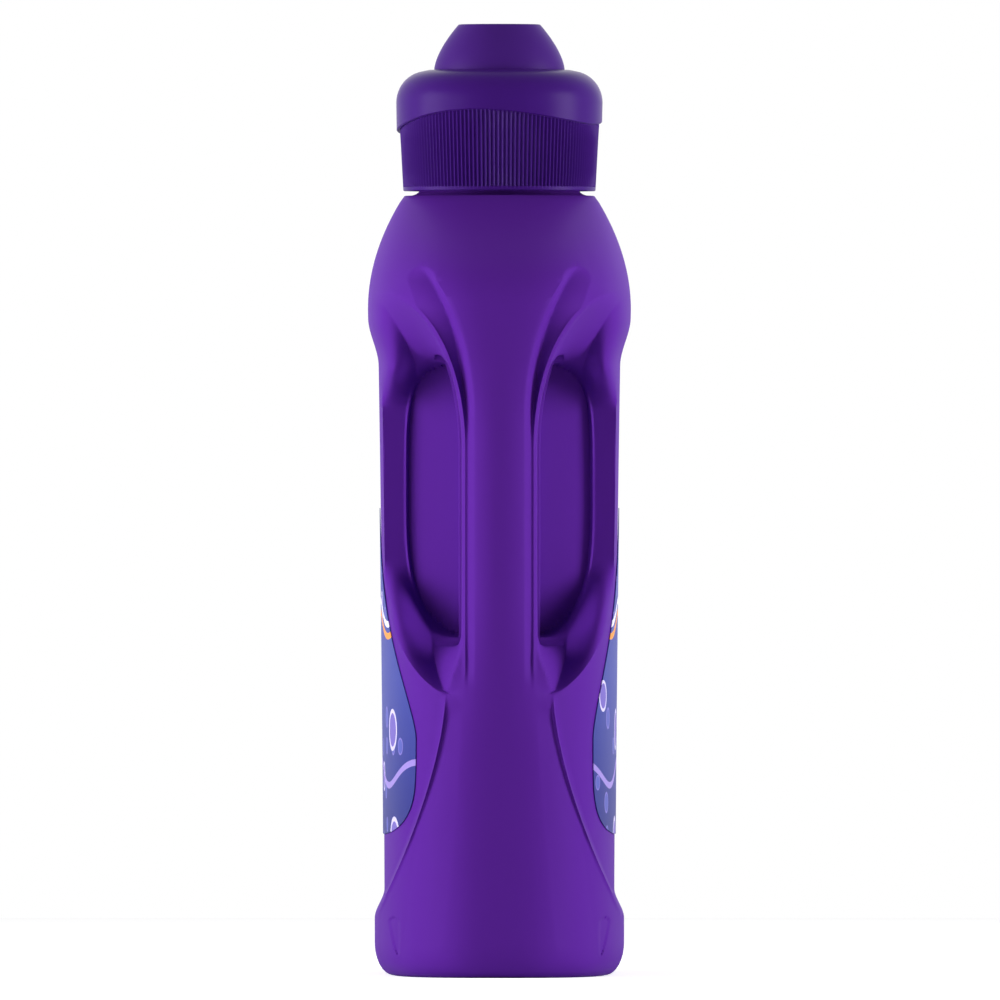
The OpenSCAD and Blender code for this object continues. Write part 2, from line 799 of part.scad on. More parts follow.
module label_film(w) {
    heights = [for (z = ring_heights(1.1)) if (z > label_low - 12 && z < label_top + 12) z];
    sheet = [for (z = heights) concat(panel_points(z, fine[4]), far_points(z, fine[5]))];
    rows = len(sheet);
    n = len(sheet[0]);
    out = [
        for (i = [0:rows - 1])
            [
                for (j = [0:n - 1])
                    let (
                        along = sheet[i][min(j + 1, n - 1)] - sheet[i][max(j - 1, 0)],
                        up = sheet[min(i + 1, rows - 1)][j] - sheet[max(i - 1, 0)][j],
                        v = cross(along, up)
                    )
                    v / norm(v)
            ]
    ];
    loops = [
        for (i = [0:rows - 1])
            concat(
                [for (j = [0:n - 1]) sheet[i][j] + out[i][j] * (film_gap + label_t)],
                [for (j = [n - 1:-1:0]) sheet[i][j] + out[i][j] * film_gap]
            )
    ];
    m = 2 * n;
    points = flat_list(loops);
    ends = [
        for (j = [0:n - 2])
            let (a = j, b = j + 1, c = m - 2 - j, d = m - 1 - j, t = (rows - 1) * m)
            each [[a, b, c], [a, c, d], [t + a, t + c, t + b], [t + a, t + d, t + c]]
    ];
    resize([2 * w, 0, 0])
    intersection() {
        polyhedron(
            points = points,
            faces = concat(skin_faces(points, rows, m), ends),
            convexity = 8
        );
        translate([0, bottle_d, 0])
            rotate([90, 0, 0])
            linear_extrude(height = bottle_d)
            polygon(label_outline(w));
    }
}

module front_label() {
    color("#424a9d")
        mirror([0, 1, 0])
        label_film(front_label_w);
}

module back_label() {
    color("#424a9d")
        label_film(back_label_w);
}

bottle();
pour_spout();
dosing_cup();
cap_shell();
front_label();
back_label();
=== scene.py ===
import math

import bmesh
import bpy
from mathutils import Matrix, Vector


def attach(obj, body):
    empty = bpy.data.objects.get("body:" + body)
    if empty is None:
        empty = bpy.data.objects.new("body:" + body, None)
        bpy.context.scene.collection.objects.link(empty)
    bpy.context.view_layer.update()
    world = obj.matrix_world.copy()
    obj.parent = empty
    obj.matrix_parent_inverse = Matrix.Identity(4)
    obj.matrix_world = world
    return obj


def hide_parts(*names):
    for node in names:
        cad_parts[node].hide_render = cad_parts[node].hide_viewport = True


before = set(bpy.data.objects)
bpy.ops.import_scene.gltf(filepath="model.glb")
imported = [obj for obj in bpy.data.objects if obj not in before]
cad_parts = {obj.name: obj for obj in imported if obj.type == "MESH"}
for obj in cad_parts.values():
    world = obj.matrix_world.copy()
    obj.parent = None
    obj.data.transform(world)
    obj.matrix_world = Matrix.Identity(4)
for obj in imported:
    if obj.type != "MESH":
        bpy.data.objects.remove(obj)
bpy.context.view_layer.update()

# Studio
# The bottle stands on a pale floor under large soft lamps, with a white surround.
# The camera is level and far off, before the handle side, and sees PHOTO_SPAN metres.
# The floor glows a little for the camera alone, so that it is as white as the surround.
PHOTO_SPAN = 0.337
EYE_Y = 0.0002
EYE_Z = 0.1597
LENS = 1200
SENSOR = 36
FILL_LIGHT = 0.2
FLOOR_SIZE = 3
FLOOR_GLOW = 0.6

camera_data = bpy.data.cameras.new("photo_camera")
camera_data.lens = LENS
camera_data.sensor_width = SENSOR
camera_data.clip_end = 40
camera = bpy.data.objects.new("photo_camera", camera_data)
camera.location = (PHOTO_SPAN * LENS / SENSOR, EYE_Y, EYE_Z)
camera.rotation_euler = (math.pi / 2, 0, math.pi / 2)
bpy.context.scene.collection.objects.link(camera)
bpy.context.scene.camera = camera

view = bpy.context.scene.view_settings
view.view_transform = "Standard"

world = bpy.data.worlds.new("white_surround")
bpy.context.scene.world = world
world.use_nodes = True
nodes, links = world.node_tree.nodes, world.node_tree.links
nodes.clear()
path = nodes.new("ShaderNodeLightPath")
mirrored_ray = nodes.new("ShaderNodeMath")
mirrored_ray.operation = "MAXIMUM"
links.new(path.outputs["Is Glossy Ray"], mirrored_ray.inputs[0])
links.new(path.outputs["Is Transmission Ray"], mirrored_ray.inputs[1])
seen = nodes.new("ShaderNodeMath")
seen.operation = "MAXIMUM"
links.new(path.outputs["Is Camera Ray"], seen.inputs[0])
links.new(mirrored_ray.outputs[0], seen.inputs[1])
surround = nodes.new("ShaderNodeBackground")
surround.inputs["Color"].default_value = (1, 1, 1, 1)
surround.inputs["Strength"].default_value = 1
fill = nodes.new("ShaderNodeBackground")
fill.inputs["Color"].default_value = (1, 1, 1, 1)
fill.inputs["Strength"].default_value = FILL_LIGHT
either = nodes.new("ShaderNodeMixShader")
links.new(seen.outputs[0], either.inputs["Fac"])
links.new(fill.outputs[0], either.inputs[1])
links.new(surround.outputs[0], either.inputs[2])
world_out = nodes.new("ShaderNodeOutputWorld")
links.new(either.outputs[0], world_out.inputs["Surface"])


MIDDLE = Vector((0, 0, 0.16))


def softbox(name, where, width, height, power):
    data = bpy.data.lights.new(name, "AREA")
    data.shape = "RECTANGLE"
    data.size = width
    data.size_y = height
    data.energy = power
    obj = bpy.data.objects.new(name, data)
    obj.location = where
    obj.rotation_euler = (MIDDLE - Vector(where)).to_track_quat("-Z", "Y").to_euler()
    bpy.context.scene.collection.objects.link(obj)


softbox("left_softbox", (0.26, -1.34, 0.25), 0.8, 1.3, 28)
softbox("right_softbox", (0.26, 1.33, 0.25), 0.6, 1.3, 29)
softbox("front_softbox", (0.8, -0.9, 0.3), 0.3, 0.9, 4)
softbox("rear_softbox", (-1.4, 0.2, 0.8), 1.4, 1.0, 2)

floor_bm = bmesh.new()
bmesh.ops.create_grid(floor_bm, x_segments=1, y_segments=1, size=FLOOR_SIZE / 2)
floor_mesh = bpy.data.meshes.new("floor")
floor_bm.to_mesh(floor_mesh)
floor_bm.free()
floor = bpy.data.objects.new("floor", floor_mesh)
bpy.context.scene.collection.objects.link(floor)
floor_paint = bpy.data.materials.new("pale_floor")
floor_paint.use_nodes = True
nodes, links = floor_paint.node_tree.nodes, floor_paint.node_tree.links
nodes.clear()
matt = nodes.new("ShaderNodeBsdfDiffuse")
matt.inputs["Color"].default_value = (0.86, 0.86, 0.87, 1)
glow = nodes.new("ShaderNodeEmission")
glow.inputs["Color"].default_value = (1, 1, 1, 1)
path = nodes.new("ShaderNodeLightPath")
only_seen = nodes.new("ShaderNodeMath")
only_seen.operation = "MULTIPLY"
only_seen.inputs[1].default_value = FLOOR_GLOW
links.new(path.outputs["Is Camera Ray"], only_seen.inputs[0])
links.new(only_seen.outputs[0], glow.inputs["Strength"])
both = nodes.new("ShaderNodeAddShader")
links.new(matt.outputs[0], both.inputs[0])
links.new(glow.outputs[0], both.inputs[1])
floor_out = nodes.new("ShaderNodeOutputMaterial")
links.new(both.outputs[0], floor_out.inputs["Surface"])
floor_mesh.materials.append(floor_paint)

# Bottle
# One blown piece of tinted polyethylene, with its neck, hollow handle and foot in one wall.
# The mould gives it the flutes, the leaf-shaped scoops and the recessed label panels.
# Sizes are in millimetres, as on a mould drawing, and MM turns them to metres.
MM = 0.001

# The body: width, depths, heights, the label panel's recess and the foot.
BOTTLE_W = 210
BOTTLE_D = 88.6
FOOT_D = 84
SHOULDER_H = 262.2
CREST_H = 224
SWELL = 1.5
LAND_D = 64.4
WALL = 1.5
BODY_FULL = 2.8
SHOULDER_FULL = 2
FOOT_H = 19
FOOT_ROUND_H = 10.8
FOOT_ROUND_IN = 6
RING_IN = 0.93
PUSH_IN = 0.84
PUSH_UP = 3
PANEL_RECESS = 3.3
LEDGE_H = 10
PANEL_TOP_H = 205
PANEL_END_DOWN = 3

# The handle: the grip with its crown and bevels, its waist, and the spine below it.
GRIP_W = 25
GRIP_T = 22
CROWN_W = 16
CROWN_FALL = 2.5
CROWN_FALL_LOW = 0.3
CROWN_SPREAD = 2.4
CROWN_TOP_SHARE = 0.25
GRIP_FALL = 0.9
GRIP_TOP_SHARE = 0.35
BEVEL_DEPTH = 1.5
BEVEL_POWER = 1.5
BEVEL_END = 12
WAIST_IN = 4.5
WAIST_H = 177
WAIST_REACH = 38
TIP_IN = 1.5
TIP_UP = 10
TIP_REACH = 35
SPINE_FOOT = 20.4
CREASE_SPREAD = 1.6

# The finger hole, and the body wall behind it with the flat bands beside that wall.
HOLE_LOW = 113
HOLE_HIGH = 206
HOLE_MID = (HOLE_LOW + HOLE_HIGH) / 2
HOLE_HALF = (HOLE_HIGH - HOLE_LOW) / 2
HOLE_ROUND = 6
HOLE_FULL = 3.6
HOLE_WALL_X = 52
HOLE_WALL_W = 60.8
HOLE_WALL_FLAT = 4
HOLE_WALL_SLOPE = 0.5
HOLE_WALL_FULL_TOP = 5
HOLE_WALL_FULL_LOW = 3
BAND_X = 40.3
BAND_STEP = 1.7
BAND_LOW = (120, 140)
BAND_HIGH = (190, 204)

# The leaf-shaped scoops beside the grip, and the crease and facet that run down from their tips.
LEAF_TOP_H = 229
LEAF_BEND_H = 139.5
LEAF_TIP_H = 95
LEAF_FALL = 1.15
LEAF_POINT_H = 15
FLANK_W = 1.2
EDGE_IN = 0.9
CREASE_FOOT_UP = 2.6
CREASE_FOOT_IN = 1.1
FACET_DEPTH = 2.2
FACET_STEP = 1.8
FACET_TOP_DOWN = 9
FACET_SPLIT_H = 49
FACET_SPLIT_Y = 27.3
FACET_SPLIT_SLOPE = 0.13

# The flutes, with the side on which their floor lies deepest.
FLUTE_TOP_H = 233
FLUTE_Y = 25.8
FLUTE_R = 4.9
FLUTE_DEPTH = 4.2
FLUTE_LAND = 1
FLUTE_INSET = 1.1
FLUTE_LOW_SHARE = 0.25
DEEPEST_LOW = 0.75
DEEPEST_HIGH = 0.2
DEEPEST_END = 0.5
GROOVE_POWER = 0.85

# The teardrop dimples in the foot.
DIMPLE_Y = 34.6
DIMPLE_LEAN = (-0.6, 0.8)
DIMPLE_HALF = 2.3
DIMPLE_TOP = 20
DIMPLE_LOW = 7.5
DIMPLE_TOP_ROUND = 9
DIMPLE_DEPTH = 1.4
DIMPLE_EDGE = 0.5

# The neck finish.
COLLAR_R = 27
COLLAR_LOW = 1.6
COLLAR_H = 3.4
COLLAR_ROUND = 0.4
NECK_R = 25.2
NECK_H = 22
BORE_R = 22.8
BORE_DOWN = 8


def clamp(v, low=0.0, high=1.0):
    return max(low, min(high, v))


def mix(a, b, t):
    return a + (b - a) * t


def ease(t):
    u = clamp(t)
    return u * u * (3 - 2 * u)


def ramp(v, v0, v1):
    return clamp((v - v0) / (v1 - v0))


def bell(v, middle, reach):
    return math.exp(-((v - middle) / reach) ** 2)


def even(v0, v1, n):
    return [mix(v0, v1, i / n) for i in range(n)]


# How far the rounding under the foot draws a section in.
def foot_in(z):
    if z >= FOOT_ROUND_H:
        return 0
    return FOOT_ROUND_IN * (1 - math.sqrt(1 - (1 - z / FOOT_ROUND_H) ** 2))


# Share of the way from the widest body to the land round the neck.
def shoulder_fall(z):
    return ramp(z, CREST_H, SHOULDER_H) ** 2


# Half depths of a section, without and with the label panel's recess.
def full_half_d(z):
    side = mix(FOOT_D / 2, BOTTLE_D / 2, ramp(z, FOOT_H, CREST_H) ** SWELL)
    return mix(side, LAND_D / 2, shoulder_fall(z)) - foot_in(z)


def recess(z):
    rise = ease(ramp(z, FOOT_H, FOOT_H + LEDGE_H))
    return PANEL_RECESS * rise * (1 - ease(ramp(z, PANEL_TOP_H, CREST_H - PANEL_END_DOWN)))


def panel_half_d(z):
    return full_half_d(z) - recess(z)


# Half widths of a section, on the handle's side and on the far side.
def spine_w(z):
    side = BOTTLE_W / 2 - WAIST_IN * bell(z, WAIST_H, WAIST_REACH)
    side -= TIP_IN * bell(z, LEAF_TIP_H + TIP_UP, TIP_REACH)
    return mix(side, LAND_D / 2, shoulder_fall(z)) - foot_in(z)


def far_w(z):
    return mix(BOTTLE_W / 2, LAND_D / 2, shoulder_fall(z)) - foot_in(z)


# How square a section is: 2 is an ellipse.
def fullness(z):
    return mix(BODY_FULL, SHOULDER_FULL, ramp(z, CREST_H, SHOULDER_H))


# Distance in X of a section's outline at the depth y.
def reach_at(a, b, n, y):
    return a * max(0, 1 - min(y / b, 1) ** n) ** (1 / n)


def full_x(y, z):
    return reach_at(spine_w(z), full_half_d(z), fullness(z), y)


def panel_x(y, z):
    return reach_at(spine_w(z) - recess(z), panel_half_d(z), fullness(z), y)


# Edges of the handle's features, as distances from the middle plane.
LEAF_EDGE = panel_half_d(WAIST_H + 20)
LEAF_REACH = LEAF_EDGE - GRIP_W / 2


def leaf_arc(z):
    return LEAF_EDGE - LEAF_REACH * math.sqrt(1 - ((z - WAIST_H) / (LEAF_TOP_H - WAIST_H)) ** 2)


def grip_edge(z):
    flute_side = FLUTE_Y + FLUTE_R + FLUTE_LAND
    if z > FLUTE_TOP_H:
        return mix(flute_side, GRIP_TOP_SHARE * LAND_D, ramp(z, FLUTE_TOP_H, SHOULDER_H))
    if z > CREST_H:
        return mix(leaf_arc(CREST_H), flute_side, ramp(z, CREST_H, FLUTE_TOP_H))
    if z > WAIST_H:
        return leaf_arc(z)
    return mix(GRIP_W / 2, SPINE_FOOT, ramp(z, LEAF_TIP_H, 0) ** CREASE_SPREAD)


def crown_edge(z):
    top = FLUTE_Y - FLUTE_R
    if z > FLUTE_TOP_H:
        return mix(top, CROWN_TOP_SHARE * LAND_D, ramp(z, FLUTE_TOP_H, SHOULDER_H))
    if z > WAIST_H:
        return mix(CROWN_W / 2, top, ramp(z, WAIST_H + 8, FLUTE_TOP_H) ** CROWN_SPREAD)
    return CROWN_W / 2 * grip_edge(z) / (GRIP_W / 2)


def flute_out(z):
    return grip_edge(z) - FLUTE_INSET


def leaf_low_arc(z):
    side = panel_half_d(LEAF_BEND_H) - EDGE_IN - GRIP_W / 2
    down = (LEAF_BEND_H - z) / (LEAF_BEND_H - LEAF_TIP_H + 1)
    return GRIP_W / 2 + side * math.sqrt(1 - down * down)


def leaf_out(z):
    limit = panel_half_d(z) - EDGE_IN
    if z > LEAF_BEND_H:
        return limit
    if z > LEAF_TIP_H:
        return min(limit, leaf_low_arc(z))
    down = ramp(z, LEAF_TIP_H, FOOT_H + CREASE_FOOT_UP) ** CREASE_SPREAD
    return min(limit, mix(leaf_low_arc(LEAF_TIP_H), FOOT_D / 2 - CREASE_FOOT_IN, down))


def wall_fullness(u):
    return HOLE_WALL_FULL_TOP if u > 0 else HOLE_WALL_FULL_LOW


def wall_edge(z):
    u = (z - HOLE_MID) / HOLE_HALF
    n = wall_fullness(u)
    if abs(u) >= 1:
        return 0
    return HOLE_WALL_W / 2 * (1 - abs(u) ** n) ** (1 / n)


# How far a point lies inside an ellipse, in millimetres.
def inside_by(dy, dz, a, b):
    e = math.hypot(dy / a, dz / b)
    steep = math.hypot(dy / (a * a), dz / (b * b))
    return (1 - e) * e / max(steep, 0.0001)


# How far a point lies inside the leaf's outline.
def leaf_depth(y, z):
    depths = [leaf_out(z) - y]
    if z > WAIST_H:
        depths.append(inside_by(y - LEAF_EDGE, z - WAIST_H, LEAF_REACH, LEAF_TOP_H - WAIST_H))
    low_w = leaf_low_arc(LEAF_BEND_H) - GRIP_W / 2
    if z < LEAF_BEND_H:
        depths.append(inside_by(y - GRIP_W / 2, z - LEAF_BEND_H, low_w, LEAF_BEND_H - LEAF_TIP_H + 1))
    slope = LEAF_POINT_H / (leaf_low_arc(LEAF_TIP_H) - GRIP_W / 2)
    above = z - LEAF_TIP_H - LEAF_POINT_H + slope * (y - GRIP_W / 2)
    depths.append(above / math.sqrt(1 + slope * slope))
    return max(0, min(depths))


# How far a point lies outside the body wall behind the finger hole.
def outside_wall(y, z):
    u = (z - HOLE_MID) / HOLE_HALF
    n = wall_fullness(u)
    e = ((y / (HOLE_WALL_W / 2)) ** n + abs(u) ** n) ** (1 / n)
    return 0 if e <= 1 else math.hypot(y, z - HOLE_MID) * (1 - 1 / e)


# Depth of the scoop: none at the leaf's outline, full at the body wall.
def leaf_share(y, z):
    if z > LEAF_TOP_H or z < LEAF_TIP_H:
        return 0
    q = leaf_depth(y, z)
    s = q / max(q + outside_wall(y, z), 0.0001)
    return 1 - (1 - s) ** LEAF_FALL


# The flat band between the body wall and the panel, stepped up from the wall.
def side_band(y, z):
    near = ease(ramp(y, wall_edge(z), wall_edge(z) + BAND_STEP))
    return near * ease(ramp(z, *BAND_LOW)) * (1 - ease(ramp(z, *BAND_HIGH)))


# A groove's profile from 0 to 1 across, with its deepest line off the middle.
def groove(t, deepest):
    if not 0 < t < 1:
        return 0
    if t < deepest:
        return ease(t / deepest)
    return ((1 - t) / (1 - deepest)) ** GROOVE_POWER


# What each feature takes off the skin along X.
def flute_cut(y, z):
    over = (z - FLUTE_TOP_H) / FLUTE_R
    if over >= 1:
        return 0
    if over <= 0:
        t = (y - crown_edge(z)) / (flute_out(z) - crown_edge(z))
        low_end = FLUTE_LOW_SHARE * ease(ramp(z, LEAF_TIP_H, LEAF_TIP_H + 12))
        fade = mix(low_end, 1, ease(ramp(z, WAIST_H, WAIST_H + 25)))
    else:
        t = 0.5 + (y - FLUTE_Y) / max(2 * FLUTE_R * math.sqrt(1 - over * over), 0.01)
        fade = 1 - over * over
    deepest = mix(DEEPEST_LOW, DEEPEST_HIGH, ease(ramp(z, WAIST_H + 16, FLUTE_TOP_H - 4)))
    deepest = mix(deepest, DEEPEST_END, clamp(over))
    return FLUTE_DEPTH * fade * groove(t, deepest)


def bevel_cut(y, z):
    low = grip_edge(z)
    t = ramp(y, crown_edge(z), low)
    above_waist = 1 - ease(ramp(z, WAIST_H, CREST_H))
    fade = ease(ramp(z, LEAF_TIP_H, HOLE_LOW + 5)) * above_waist
    round_fade = 1 - ease(ramp(z, CREST_H, SHOULDER_H))
    round_fade *= mix(CROWN_FALL_LOW, 1, ease(ramp(z, LEAF_TIP_H - 25, LEAF_TIP_H + 15)))
    round_fade += GRIP_FALL * ease(ramp(z, LEAF_TIP_H, HOLE_LOW + 20)) * above_waist
    beyond = 1 - ease((y - low) / BEVEL_END)
    crown = CROWN_FALL * round_fade * clamp(y / low) ** 2
    return (BEVEL_DEPTH * fade * t ** BEVEL_POWER + crown) * beyond


def facet_cut(y, z):
    split = FACET_SPLIT_Y + FACET_SPLIT_SLOPE * (FACET_SPLIT_H - z)
    low, edge = grip_edge(z), leaf_out(z)
    middle = min(split, edge) if z < FACET_SPLIT_H else edge
    step_in = ease((edge + FLANK_W / 2 - y) / FACET_STEP)
    top_fade = 1 - ease(ramp(z, LEAF_TIP_H - FACET_TOP_DOWN, LEAF_TIP_H))
    fade = ease(ramp(z, 0, FOOT_ROUND_H)) * top_fade
    return FACET_DEPTH * fade * ramp(y, low, middle) * step_in


def dimple_cut(y, z):
    up = (z - DIMPLE_LOW) / (DIMPLE_TOP - DIMPLE_LOW)
    if not 0 < up < 1:
        return 0
    half = DIMPLE_HALF * math.sqrt(up) * min(1, (1 - up) * DIMPLE_TOP_ROUND) ** 0.5
    middle = mix(DIMPLE_Y + DIMPLE_LEAN[0], DIMPLE_Y + DIMPLE_LEAN[1], up)
    off = abs(y - middle) / max(half, 0.01)
    return DIMPLE_DEPTH * ease((1 - off) / DIMPLE_EDGE)


def crown_point(y, z):
    return (full_x(y, z) - flute_cut(y, z) - bevel_cut(y, z), y, z)


def leaf_point(y, z):
    low, out = grip_edge(z), leaf_out(z)
    share = ramp(y, low, out) * ease(ramp(z, LEAF_TIP_H - 5, LEAF_TIP_H + 2))
    base = mix(full_x(y, z), panel_x(y, z), share)
    flank = ramp(y, low, low + FLANK_W)
    wall_x = HOLE_WALL_X - HOLE_WALL_SLOPE * max(0, y - HOLE_WALL_FLAT)
    x = mix(base - bevel_cut(y, z), wall_x, leaf_share(y, z) * flank)
    x = mix(x, min(base, BAND_X), side_band(y, z))
    x -= flute_cut(y, z) + facet_cut(y, z) + dimple_cut(y, z)
    return (x, y, z)


def round_point(a, b, n, turn, z):
    c, s = math.cos(turn), math.sin(turn)
    return (a * math.copysign(abs(c) ** (2 / n), c), b * abs(s) ** (2 / n), z)


# One half of the skin at a height, from the crown of the grip to the far side.
def half_section(z, counts):
    e1, e2, e3 = crown_edge(z), flute_out(z), grip_edge(z)
    e4, e6 = e3 + FLANK_W, leaf_out(z)
    e5 = clamp(wall_edge(z), mix(e4, e6, 0.45), mix(e4, e6, 0.75))
    points = [crown_point(y, z) for y in even(0, e1, counts[0])]
    points += [crown_point(y, z) for y in even(e1, e2, counts[1])]
    points += [crown_point(y, z) for y in even(e2, e3, 2)]
    points += [leaf_point(y, z) for y in even(e3, e4, 3)]
    points += [leaf_point(y, z) for y in even(e4, e5, counts[2])]
    points += [leaf_point(y, z) for y in even(e5, e6, counts[3])]
    points += [leaf_point(e6, z)]
    b, a, far, n = panel_half_d(z), spine_w(z) - recess(z), far_w(z) - recess(z), fullness(z)
    start = math.asin(min(0.999, (e6 + FLANK_W / 2) / b) ** (n / 2))
    points += [round_point(a, b, n, t, z) for t in even(start, math.pi / 2, counts[4])]
    points += [round_point(far, b, n, t, z) for t in even(math.pi / 2, math.pi, counts[5])]
    return points + [round_point(far, b, n, math.pi, z)]


def mirrored(half):
    return half + [(x, -y, z) for x, y, z in half[-2:0:-1]]


def scaled_ring(points, s, z):
    return [(x * s, y * s, z) for x, y, _ in points]


# A closed skin through rings that have as many points each.
def loft(rings):
    across, along = len(rings[0]), len(rings) - 1
    bm = bmesh.new()
    bmesh.ops.create_grid(bm, x_segments=across, y_segments=along, size=1)
    for v in bm.verts:
        i = round((v.co.x + 1) / 2 * across) % across
        j = round((v.co.y + 1) / 2 * along)
        v.co = Vector(rings[j][i]) * MM
    bmesh.ops.remove_doubles(bm, verts=bm.verts, dist=1e-7)
    bmesh.ops.holes_fill(bm, edges=[e for e in bm.edges if e.is_boundary], sides=0)
    bmesh.ops.recalc_face_normals(bm, faces=bm.faces)
    return bm


def piece(name, bm, sharp=40):
    for face in bm.faces:
        face.smooth = True
    mesh = bpy.data.meshes.new(name)
    bm.to_mesh(mesh)
    bm.free()
    mesh.set_sharp_from_angle(angle=math.radians(sharp))
    obj = bpy.data.objects.new(name, mesh)
    bpy.context.scene.collection.objects.link(obj)
    return obj


def apply_cut(obj, tool, how="DIFFERENCE"):
    cut = obj.modifiers.new("cut", "BOOLEAN")
    cut.operation = how
    cut.solver = "EXACT"
    cut.object = tool
    bpy.context.view_layer.update()
    graph = bpy.context.evaluated_depsgraph_get()
    mesh = bpy.data.meshes.new_from_object(obj.evaluated_get(graph))
    obj.modifiers.clear()
    old = obj.data
    obj.data = mesh
    bpy.data.meshes.remove(old)
    bpy.data.objects.remove(tool)


SKIN = [10, 18, 18, 28, 20, 26]
skin_heights = (
    [0, 0.3, 0.9, 2, 3.5, 5]
    + even(6.2, FOOT_H + LEDGE_H, 48)
    + even(FOOT_H + LEDGE_H, LEAF_TIP_H - 4, 40)
    + even(LEAF_TIP_H - 4, HOLE_LOW + 4, 26)
    + even(HOLE_LOW + 4, HOLE_HIGH - 12, 44)
    + even(HOLE_HIGH - 12, FLUTE_TOP_H, 46)
    + even(FLUTE_TOP_H, FLUTE_TOP_H + FLUTE_R, 10)
    + even(FLUTE_TOP_H + FLUTE_R, SHOULDER_H - 0.4, 12)
)
rings = [mirrored(half_section(z, SKIN)) for z in skin_heights]
land = mirrored(half_section(SHOULDER_H, SKIN))
rings = [scaled_ring(rings[0], PUSH_IN, PUSH_UP), scaled_ring(rings[0], RING_IN, 0)] + rings
rings += [scaled_ring(land, 0.995, SHOULDER_H - 0.1), scaled_ring(land, 0.98, SHOULDER_H)]


def neck_ring(r, z, like):
    return [(r * p[0] / math.hypot(p[0], p[1]), r * p[1] / math.hypot(p[0], p[1]), z) for p in like]


THREAD_TURNS = 1.6
THREAD_LOW = 6
THREAD_PITCH = 6
THREAD_OUT = 1.1


# How far the thread stands out from the neck, with its two ends run out.
def thread_out(x, y, z):
    turn = (math.atan2(y, x) / (2 * math.pi)) % 1
    best = 0
    for k in range(-1, 4):
        t = turn + k
        if 0 <= t <= THREAD_TURNS:
            middle = SHOULDER_H + THREAD_LOW + THREAD_PITCH * t
            ends = ease(t / 0.1) * ease((THREAD_TURNS - t) / 0.1)
            best = max(best, ends * (1 - ease((abs(z - middle) - 0.4) / 0.9)))
    return THREAD_OUT * best


neck_top = SHOULDER_H + NECK_H
LAND_FILLET = ((29.4, 0.1), (28.2, 0.5), (27.3, 1.1))
rings += [neck_ring(r, SHOULDER_H + z, land) for r, z in LAND_FILLET]
rings += [neck_ring(COLLAR_R, SHOULDER_H + COLLAR_LOW, land)]
rings += [neck_ring(COLLAR_R, SHOULDER_H + COLLAR_H - COLLAR_ROUND, land)]
rings += [neck_ring(COLLAR_R - COLLAR_ROUND, SHOULDER_H + COLLAR_H, land)]
rings += [neck_ring(NECK_R, z, land) for z in even(SHOULDER_H + COLLAR_H, neck_top - 0.4, 34)]
rings += [neck_ring(NECK_R, neck_top - 0.4, land), neck_ring(NECK_R - 0.4, neck_top, land)]
rings += [neck_ring(BORE_R, neck_top, land), neck_ring(BORE_R, SHOULDER_H - BORE_DOWN, land)]
bottle_bm = loft(rings)
for v in bottle_bm.verts:
    x, y, z = v.co / MM
    r = math.hypot(x, y)
    if z > SHOULDER_H + COLLAR_H + 0.1 and abs(r - NECK_R) < 0.01:
        out = 1 + thread_out(x, y, z) / r
        v.co = (x * out * MM, y * out * MM, z * MM)
bottle = piece("bottle_body", bottle_bm)


# The cutter of the finger hole, flared where it runs into both scoops.
def hole_outline(flare, grow, steps):
    outline = []
    for i in range(steps):
        turn = i * 2 * math.pi / steps
        c, s = math.cos(turn), math.sin(turn)
        up = math.copysign(abs(s) ** (2 / HOLE_FULL), s)
        side = math.copysign(abs(c) ** (2 / HOLE_FULL), c)
        z = HOLE_MID + up * (HOLE_HALF + grow + flare * 0.4)
        grip_x = spine_w(clamp(z, HOLE_LOW, HOLE_HIGH)) - GRIP_T + grow + flare
        outline.append((mix(HOLE_WALL_X - grow - 0.2, grip_x, (side + 1) / 2), z))
    return outline


def finger_hole(grow, steps, turns):
    half = GRIP_W / 2
    side = [
        (half - HOLE_ROUND * (1 - math.sin(t)), HOLE_ROUND * (1 - math.cos(t)))
        for t in [i * math.pi / 2 / turns for i in range(turns + 1)]
    ]
    profile = [(-half - 9, HOLE_ROUND)] + [(-y, f) for y, f in side[::-1]] + side + [(half + 9, HOLE_ROUND)]
    return loft([
        [(x, -y, z) for x, z in hole_outline(f * (0.9 if grow else 1), grow, steps)]
        for y, f in profile
    ])


# The hollow inside, everywhere a wall's thickness or more below the skin.
def skin_x(y, z):
    if y < grip_edge(z):
        return crown_point(y, z)[0]
    if y < leaf_out(z):
        return leaf_point(y, z)[0]
    return panel_x(y, z)


def least_x(y, z):
    return min(
        skin_x(abs(y + dy), clamp(z + dz, 0, SHOULDER_H))
        for dy in (-2.6, 0, 2.6) for dz in (-4, 0, 4)
    )


def cavity_section(z):
    b, n = panel_half_d(z) - WALL, fullness(z)
    a, far = spine_w(z) - recess(z) - WALL, far_w(z) - recess(z) - WALL
    e1, e3, e6 = crown_edge(z), grip_edge(z), min(leaf_out(z), b - 1)
    ys = even(0, e1, 3) + even(e1, e3 - 3, 3) + even(e3 - 3, e3, 2) + even(e3, e6, 8) + [e6]
    start = math.asin((e6 / b) ** (n / 2))
    points = [(min(least_x(y, z) - WALL, reach_at(a, b, n, y)), y, z) for y in ys]
    points += [round_point(a, b, n, mix(start, math.pi / 2, i / 8), z) for i in range(1, 8)]
    return points + [round_point(far, b, n, math.pi / 2 * (1 + i / 10), z) for i in range(11)]


